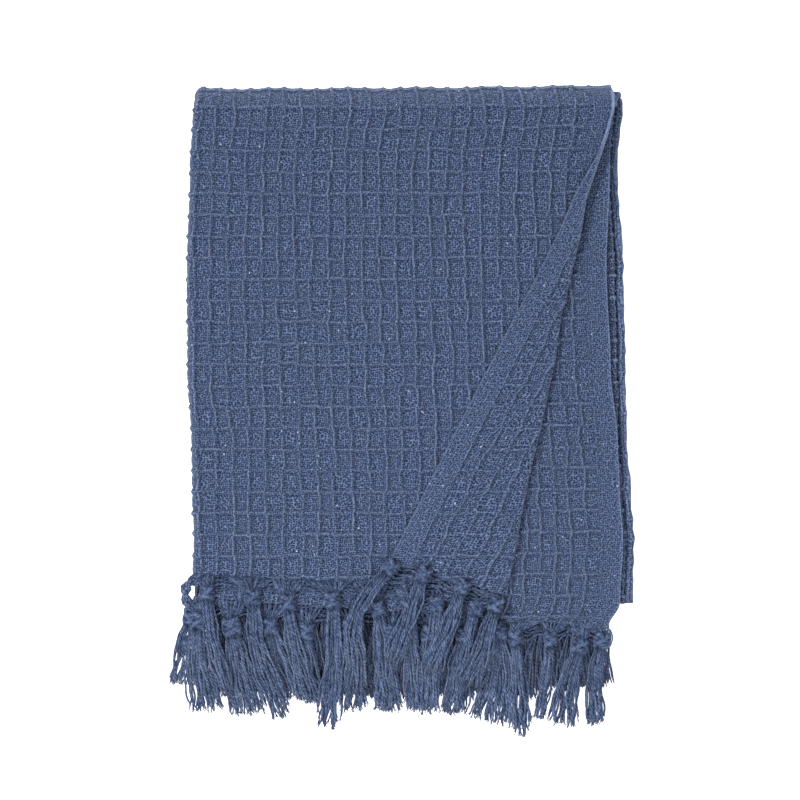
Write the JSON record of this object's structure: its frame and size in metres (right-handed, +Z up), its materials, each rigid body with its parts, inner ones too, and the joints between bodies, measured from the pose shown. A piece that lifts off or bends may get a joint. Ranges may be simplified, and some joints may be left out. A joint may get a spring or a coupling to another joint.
{
  "type": "folded waffle weave cotton throw with a knotted fringe",
  "caption": "Waffle weave cotton throw folded in quarters both ways, one corner turned back, with knotted tassels along its cut edges.",
  "frame": {"origin": "centre of the footprint, on the surface that the folded throw lies on", "axes": "+X to the right of the folded throw, +Y away from the fringe towards the far fold, +Z up"},
  "size_m": [0.3468, 0.4842, 0.0478],
  "materials": {
    "denim_waffle": "matte cotton waffle weave in denim blue",
    "fringe_yarn": "matte twisted cotton yarn, knotted and frayed, in denim blue"
  },
  "bodies": {
    "root": {"waffle_cloth": "denim_waffle", "fringe_flap": "fringe_yarn", "fringe_1": "fringe_yarn", "fringe_2": "fringe_yarn", "fringe_3": "fringe_yarn", "fringe_4": "fringe_yarn", "fringe_5": "fringe_yarn", "fringe_6": "fringe_yarn", "fringe_7": "fringe_yarn", "fringe_8": "fringe_yarn"}
  },
  "joints": []
}
